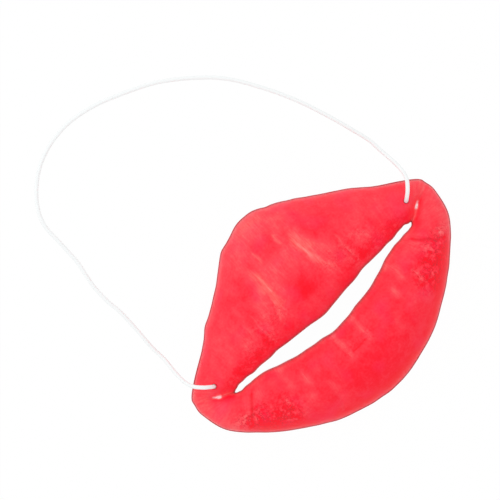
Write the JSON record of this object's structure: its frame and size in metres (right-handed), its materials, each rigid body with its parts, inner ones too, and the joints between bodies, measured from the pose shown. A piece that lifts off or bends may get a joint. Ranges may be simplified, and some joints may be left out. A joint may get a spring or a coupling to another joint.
{
  "type": "novelty lips mask",
  "caption": "Moulded shell in the form of a pair of lips with an open mouth slot, worn over the mouth on a loop of elastic cord that is knotted inside it.",
  "frame": {"origin": "on the plane that the shell's rim rests on, under the middle of the lips' outline", "axes": "+X along the mouth, +Y from the lower lip to the upper lip, +Z out of the front of the lips"},
  "size_m": [0.1392, 0.1798, 0.026],
  "materials": {
    "lips_plastic": "soft red vinyl, a little translucent, with a satin gloss and faint moulded wrinkles",
    "cord_elastic": "white braided cover over an elastic core"
  },
  "bodies": {
    "root": {"lips_shell": "lips_plastic", "elastic_cord": "cord_elastic", "knot_left": "cord_elastic", "knot_right": "cord_elastic"}
  },
  "joints": []
}
